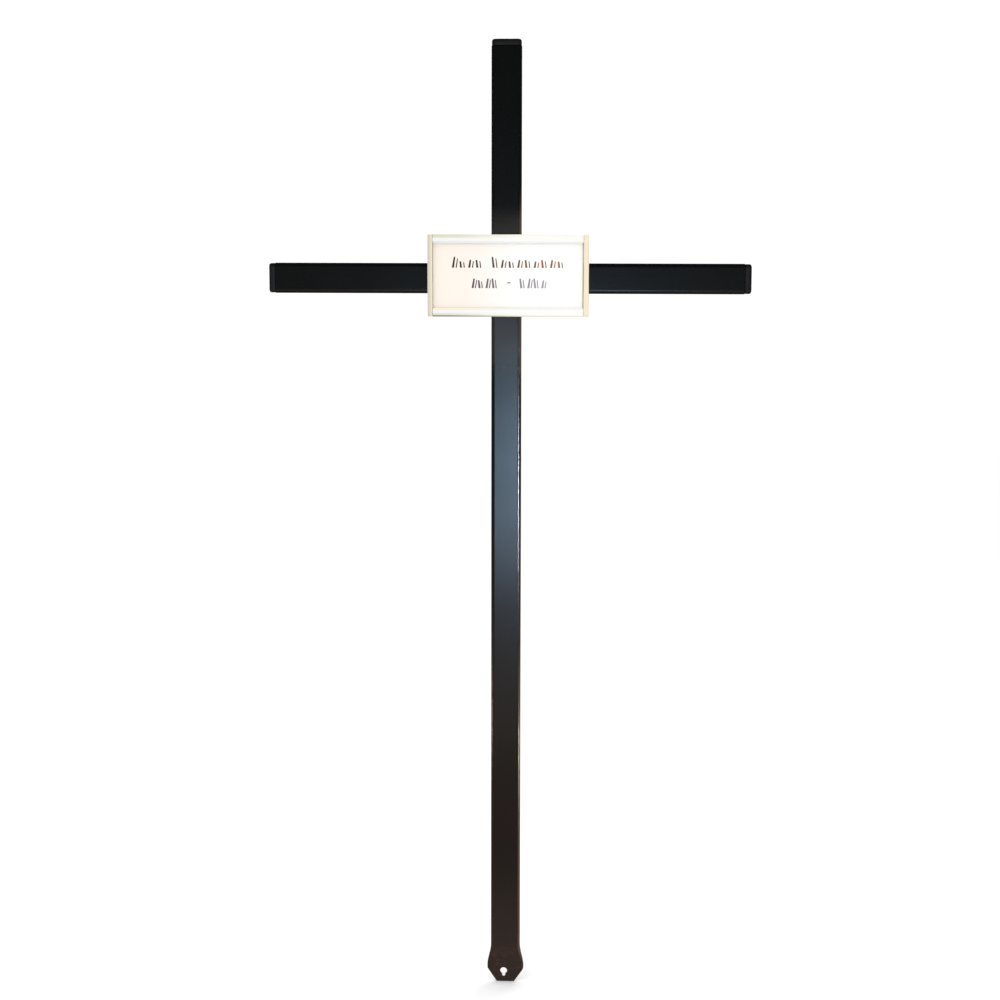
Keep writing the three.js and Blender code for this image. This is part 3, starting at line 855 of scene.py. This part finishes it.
class GRAVECROSS_OT_caps(Operator):
    """Models one plug cap and sets it into the three open tube ends"""

    bl_idname = "gravecross.caps"
    bl_label = "End Caps"

    RIBS = 3
    # Shares of the rib pitch
    NECK, CREST, SLOPE = 0.5, 0.17, 0.33

    def execute(self, context):
        cap, tube = context.scene.cross_cap, context.scene.cross_tube
        piece = self.model_head(cap, tube)
        self.model_plug(piece, cap, tube)
        soften(piece, 0, limit=50)
        finish = plastic_finish()
        places = {
            "top_end_cap": ((0, 0, top_height - cap.head), 0),
            "left_end_cap": ((cap_low.x + cap.head, 0, arm_height), -1),
            "right_end_cap": ((far_cap_high.x - cap.head, 0, arm_height), 1),
        }
        for name, (place, side) in places.items():
            turn = Matrix.Rotation(side * math.pi / 2, 4, "Y")
            twin = copy_of(piece, f"{name}_plug", Matrix.Translation(place) @ turn)
            hand_over(twin, finish, "black_plastic", name)
        bpy.data.objects.remove(piece)
        return {"FINISHED"}

    def model_head(self, cap, tube):
        """Head with a rounded rim and a slightly crowned top, standing on height 0."""
        half = Vector((tube.width, tube_depth, 0)) / 2 - Vector((cap.inset, cap.inset, 0))
        rim = cap.head - cap.crown
        head = block("cap", -half, half + Vector((0, 0, rim)))
        with editing(head):
            round_off(head, tube.corner, lambda edge: runs_along(edge, "z"),
                      CORNER_STEPS, profile=tube.fullness)
            round_off(head, cap.dome, lambda edge: middle(edge).z > rim - NEAR, segments=6)
            pick(head, "FACE", lambda face: face.normal.z > FLAT)
            bpy.ops.mesh.inset(thickness=cap.dome / 2)
            bpy.ops.transform.translate(value=(0, 0, cap.crown))
            round_off(head, cap.chamfer, lambda edge: middle(edge).z < NEAR, segments=1)
        return head

    def model_plug(self, piece, cap, tube):
        """Plug under the head, with ribs that grip the inside of the tube."""
        inside = Vector((tube.width, tube_depth)) / 2
        gripping = inside - Vector((1, 1)) * (tube.wall + FIT_GAP)
        slim = gripping - Vector((1, 1)) * cap.rib_rise
        wider = (gripping.x / slim.x, gripping.y / slim.y, 1)
        slimmer = (slim.x / gripping.x, slim.y / gripping.y, 1)
        rib = ((self.NECK, None), (0, wider), (self.CREST, None), (self.SLOPE, slimmer))
        with editing(piece):
            pick(piece, "FACE", lambda face: face.normal.z < -FLAT)
            bpy.ops.mesh.inset(thickness=inside.x - cap.inset - cap.chamfer - slim.x)
            height = 0
            for share, scale in rib * self.RIBS:
                height -= share * cap.rib_pitch
                extrude_by((0, 0, -share * cap.rib_pitch))
                if scale:
                    bpy.ops.transform.resize(value=scale, center_override=(0, 0, height))


class GRAVECROSS_OT_holder(Operator):
    """Models the sign holder: a back plate with a rounded rail and a sloping lip at each edge"""

    bl_idname = "gravecross.holder"
    bl_label = "Sign Holder"

    def execute(self, context):
        sign = context.scene.cross_sign
        low = (holder_low.x, holder_high.y - sign.back, holder_low.z)
        holder = block("sign_profile", low, holder_high)
        with editing(holder):
            self.raise_rails(holder, sign)
            self.shape_lips(holder, sign)
        soften(holder, sign.edge_break)
        hand_over(holder, profile_finish(), "pale_profile", "sign_holder")
        return {"FINISHED"}

    def split_at_levels(self, distance):
        """New edges along the holder, at a distance above and below its middle."""
        for level in (sign_height - distance, sign_height + distance):
            slice_at((0, 0, level), (0, 0, 1))

    def raise_rails(self, holder, sign):
        """Walls along both edges of the back plate, and crests that reach inwards from them."""
        crest_back = holder_low.y + sign.wall
        self.split_at_levels(sign_half - sign.wall)
        pick(holder, "FACE", lambda face: face.normal.y < -FACING
             and abs(middle(face).z - sign_height) > sign_half - sign.wall)
        pull(holder_high.y - sign.back - holder_low.y)
        slice_at((0, crest_back, 0), (0, 1, 0))
        pick(holder, "FACE", lambda face: middle(face).y < crest_back
             and face.normal.z * (middle(face).z - sign_height) < -NEAR)
        pull(sign.rail - sign.wall)

    def shape_lips(self, holder, sign):
        """Lips that reach back from the crests to the insert, with a slope on their front."""
        opening = sign_half - sign.rail
        crest_back = holder_low.y + sign.wall
        lip_foot = insert_low.y - FIT_GAP
        self.split_at_levels(opening + sign.lip)
        pick(holder, "FACE", lambda face: face.normal.y > FACING
             and abs(middle(face).y - crest_back) < NEAR
             and abs(middle(face).z - sign_height) < opening + sign.lip)
        pull(lip_foot - crest_back)
        self.split_at_levels(opening + sign.lip_bevel)
        slope_foot = lip_foot - sign.lip_edge
        slice_at((0, slope_foot, 0), (0, 1, 0))
        slope = Vector((0, slope_foot - holder_low.y, sign.lip_bevel)) / 2
        for side in (-1, 1):
            brink = Vector((0, holder_low.y, sign_height + side * opening))
            pick(holder, "EDGE", lambda edge: runs_along(edge, "x")
                 and (middle(edge) - brink).yz.length < NEAR)
            bpy.ops.transform.translate(value=(0, slope.y, side * slope.z))
            outer = Vector((0, holder_low.y, sign_height + side * sign_half))
            inner = outer + Vector((0, sign.wall, -side * sign.wall))
            for corner, radius in ((outer, sign.rounding), (inner, sign.rounding - sign.wall)):
                round_off(holder, radius, lambda edge: runs_along(edge, "x")
                          and (middle(edge) - corner).yz.length < NEAR, CORNER_STEPS)


class GRAVECROSS_OT_ends(Operator):
    """Models the end piece of the sign holder, and its twin for the other end"""

    bl_idname = "gravecross.ends"
    bl_label = "Holder Ends"

    def execute(self, context):
        sign = context.scene.cross_sign
        finish = cream_finish()
        for name, outer, side in (
            ("holder_left_end", end_low.x, -1), ("holder_right_end", far_end_high.x, 1),
        ):
            end = self.model_end(f"{name}_cap", sign, outer, side)
            hand_over(end, finish, "cream_plastic", name)
        return {"FINISHED"}

    def model_end(self, name, sign, outer, side):
        """End piece whose outer face is at a place, on the left (side -1) or the right (side 1)."""
        inner = outer - side * sign.end
        radius = sign.rounding + sign.end_proud
        left, right = sorted((outer, inner))
        end = block(name, (left, end_low.y, end_low.z), (right, end_high.y, end_high.z))
        with editing(end):
            round_off(end, radius, lambda edge: runs_along(edge, "x")
                      and middle(edge).y < end_low.y + NEAR, segments=10)
            round_off(end, sign.end_bevel, lambda edge: abs(middle(edge).x - outer) < NEAR
                      and abs(edge.verts[0].co.x - edge.verts[1].co.x) < NEAR, segments=4)
        for level in (-1, 1):
            carve(end, self.model_peg(sign, inner, side, level), "UNION")
        soften(end, sign.edge_break)
        return end

    def model_peg(self, sign, inner, side, level):
        """Peg for the hollow of the upper (level 1) or the lower (level -1) rail."""
        foot = sign_half - sign.rail + sign.lip + FIT_GAP
        head = sign_half - sign.wall - FIT_GAP
        left, right = sorted((inner + side * sign.end / 2, inner - side * sign.peg))
        low, high = sorted((sign_height + level * foot, sign_height + level * head))
        front = holder_low.y + sign.wall + sign.rounding / 2
        back = holder_high.y - sign.back - FIT_GAP
        return block("peg", (left, front, low), (right, back, high))


class GRAVECROSS_OT_insert(Operator):
    """Models the name insert, a thin plate with two rows of engraved strokes that are no letters"""

    bl_idname = "gravecross.insert"
    bl_label = "Name Insert"

    RIM_ROUND = 0.08 * MM
    HEAD_SHARE, THIN_SHARE = 0.75, 0.85
    LEANS, HEIGHTS = (0.16, -0.12), (1, 0.82, 1)
    ROWS = (
        {"base": 7.8, "height": 7.6, "tall": 10.6, "pitch": 8.1, "margin": 17.2, "shift": 0,
         "blanks": (4,), "dashes": ()},
        {"base": -12.2, "height": 9.4, "tall": 9.4, "pitch": 6.9, "margin": 36, "shift": 1.2,
         "blanks": (4, 6), "dashes": (5,)},
    )

    def execute(self, context):
        sign = context.scene.cross_sign
        plate = block("insert_plate", insert_low, insert_high)
        strokes = [stroke for row in self.ROWS for stroke in self.row_strokes(sign, row)]
        carve(plate, join("strokes", strokes))
        soften(plate, self.RIM_ROUND, limit=50)
        hand_over(plate, insert_finish(), "insert_plate", "name_insert")
        return {"FINISHED"}

    def row_strokes(self, sign, row):
        """Cutters of one row: pairs of a broad and a thin stroke, with blanks and dashes."""
        span = (insert_high.x - insert_low.x) / MM
        slots = math.floor((span - 2 * row["margin"]) / row["pitch"] + 1e-6)
        for slot in range(slots):
            across = row["shift"] + (slot - (slots - 1) / 2) * row["pitch"]
            leads_word = slot == 0 or slot - 1 in row["blanks"]
            share = self.HEIGHTS[slot % len(self.HEIGHTS)]
            tall = row["tall"] if leads_word else row["height"] * share
            lean = self.LEANS[slot % len(self.LEANS)]
            aside = row["pitch"] / 5
            if slot in row["dashes"]:
                level = row["base"] + row["height"] / 2
                yield self.stroke(sign, across, level, row["pitch"] / 2, sign.thin / MM, 0)
            elif slot not in row["blanks"]:
                yield self.stroke(sign, across - aside, row["base"], sign.broad / MM, tall, lean)
                yield self.stroke(
                    sign, across + aside, row["base"], sign.thin / MM, tall * self.THIN_SHARE, lean
                )

    def stroke(self, sign, across, level, width, height, lean):
        """Cutter of one leaning stroke, thinner at its head, from sizes in millimetres."""
        foot = Vector((insert_middle, insert_low.y, sign_height))
        foot += Vector((across, 0, level)) * MM
        half = Vector((width * MM / 2, sign.stroke_depth, 0))
        head = foot.z + height * MM
        cutter = block("stroke", foot - half, foot + half + Vector((0, 0, height * MM)))
        with editing(cutter):
            pick(cutter, "FACE", lambda face: face.normal.z > FACING)
            bpy.ops.transform.resize(
                value=(self.HEAD_SHARE, 1, 1), center_override=(foot.x, foot.y, head)
            )
            bpy.ops.transform.translate(value=(lean * height * MM, 0, 0))
        return cutter


class GRAVECROSS_OT_stage(Operator):
    """Sets the plain floor, the soft light and the camera"""

    bl_idname = "gravecross.stage"
    bl_label = "Stage"

    FLOOR_SIZE = 12.0
    FLOOR_DROP = 0.2 * MM
    # Where the reflected ground, sky and room set in and are full, by the direction of the light
    GROUND, SKY, ROOM = ((-0.09, -0.16), (-0.88, -0.72)), (0, 0.12), (0.3, 0.95)
    WARM = (1, 0.79, 0.63)
    # Name, place, height of the target, size, power, colour, spread in degrees, and whether matt
    # surfaces show it in place of gloss
    LIGHTS = (
        ("window_glow", (-0.06, -2.15, 0.32), 0.5, (0.3, 0.4), 4.2, (0.5, 0.73, 0.98), 180, False),
        ("window_gap", (0.474, -0.8, 0.413), 0.5, (0.05, 0.17), 0.29, (0.80, 0.84, 1), 30, False),
        ("warm_right", (0.515, -0.165, 0.112), 0.23, (0.06, 0.06), 0.082, WARM, 40, False),
        ("warm_left", (-0.555, -0.114, 0.15), 0.26, (0.08, 0.08), 0.034, WARM, 40, False),
        ("high_key", (-1.1, -1.7, 2.7), 0.5, (1.6, 1.2), 9, (1, 0.98, 0.95), 180, True),
        ("back_fill", (1.0, 2.2, 1.6), 0.5, (1.4, 1.4), 14, (1, 0.97, 0.93), 180, True),
    )

    def execute(self, context):
        stage = context.scene.cross_stage
        self.lay_floor(stage)
        self.light_world(context.scene, stage)
        for light in self.LIGHTS:
            self.hang_light(*light)
        self.set_camera(context.scene, stage)
        context.scene.view_settings.view_transform = "Standard"
        return {"FINISHED"}

    def lay_floor(self, stage):
        """Large plain floor just under the tip, which the gloss of the pieces doesn't show."""
        place = (0, 0, -self.FLOOR_DROP)
        plane = added(bpy.ops.mesh.primitive_plane_add, size=self.FLOOR_SIZE, location=place)
        floor = settle(plane, "floor")
        paint = Finish("floor_paint", specular=0)
        colour = paint.mix(0.06 * paint.noise(1.5), stage.floor, FLOOR_CLOUD)
        floor.data.materials.append(paint.done(colour, 0.9))
        floor.visible_glossy = False
        floor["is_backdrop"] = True

    def light_world(self, scene, stage):
        """Even white all round. Gloss shows dim sky, warm ground and a room behind instead."""
        scene.world = bpy.data.worlds.new("studio")
        scene.world.use_nodes = True
        room = Graph(scene.world.node_tree)
        direction = room.node("ShaderNodeTexCoord", output="Generated")
        behind, rising = room.part(direction, "Y"), room.part(direction, "Z")
        sky = room.mix(rising.rise(*self.SKY), stage.horizon, stage.dusk)
        lit = room.mix(behind.rise(*self.ROOM), sky, stage.room)
        reflected = room.mix(rising.band(*self.GROUND), lit, stage.ground)
        in_gloss = room.node("ShaderNodeLightPath", output="Is Glossy Ray")
        light = room.mix(in_gloss, (stage.sky,) * 3, reflected)
        room.set(room.tree.nodes["Background"], "Color", light)

    def hang_light(self, name, place, target, size, power, colour, spread, on_matt):
        """Soft rectangular light, unseen itself, that faces the post at a height."""
        lamp = added(bpy.ops.object.light_add, type="AREA", location=place)
        lamp.name = lamp.data.name = name
        lamp.data.shape = "RECTANGLE"
        lamp.data.size, lamp.data.size_y = size
        lamp.data.energy = power
        lamp.data.color = colour
        lamp.data.spread = math.radians(spread)
        aim = Vector((0, 0, target)) - Vector(place)
        lamp.rotation_euler = aim.to_track_quat("-Z", "Y").to_euler()
        lamp.visible_camera = False
        lamp.visible_diffuse = on_matt
        lamp.visible_glossy = not on_matt

    def set_camera(self, scene, stage):
        """Camera at the viewing angle of a person who stands in front of the cross."""
        place = (stage.side, -stage.distance, stage.height)
        camera = added(bpy.ops.object.camera_add, location=place)
        camera.rotation_euler = (math.pi / 2 + stage.pitch, stage.roll, stage.yaw)
        camera.data.lens = stage.lens
        camera.data.shift_x, camera.data.shift_y = stage.shift
        scene.camera = camera


class GRAVECROSS_PT_sidebar(Panel):
    """Steps and settings of the grave cross"""

    bl_idname = "GRAVECROSS_PT_sidebar"
    bl_label = "Grave Cross"
    bl_space_type = "VIEW_3D"
    bl_region_type = "UI"
    bl_category = "Grave Cross"

    def draw(self, context):
        for step in STEPS:
            self.layout.operator(step.bl_idname)
        for name, group in GROUPS.items():
            box = self.layout.box()
            box.label(text=group.__doc__)
            for setting in group.__annotations__:
                box.prop(getattr(context.scene, name), setting)


STEPS = (
    GRAVECROSS_OT_post,
    GRAVECROSS_OT_arms,
    GRAVECROSS_OT_caps,
    GRAVECROSS_OT_holder,
    GRAVECROSS_OT_ends,
    GRAVECROSS_OT_insert,
    GRAVECROSS_OT_stage,
)
CLASSES = (*GROUPS.values(), *STEPS, GRAVECROSS_PT_sidebar)


def register():
    """Registers the classes and hangs the settings on the scene."""
    for item in CLASSES:
        bpy.utils.register_class(item)
    for name, group in GROUPS.items():
        setattr(Scene, name, PointerProperty(type=group))


def unregister():
    """Takes the settings and the classes away again."""
    for name in GROUPS:
        delattr(Scene, name)
    for item in reversed(CLASSES):
        bpy.utils.unregister_class(item)


def main():
    """Builds the cross and its stage, and works out the boxes of the CAD model and of this one."""
    register()
    for step in STEPS:
        getattr(bpy.ops.gravecross, step.bl_idname.split(".")[1])()
    boxes = {"cad": cad_box, "visual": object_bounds()}
    {name: [list(corner) for corner in box] for name, box in boxes.items()}


if __name__ == "__main__":
    main()
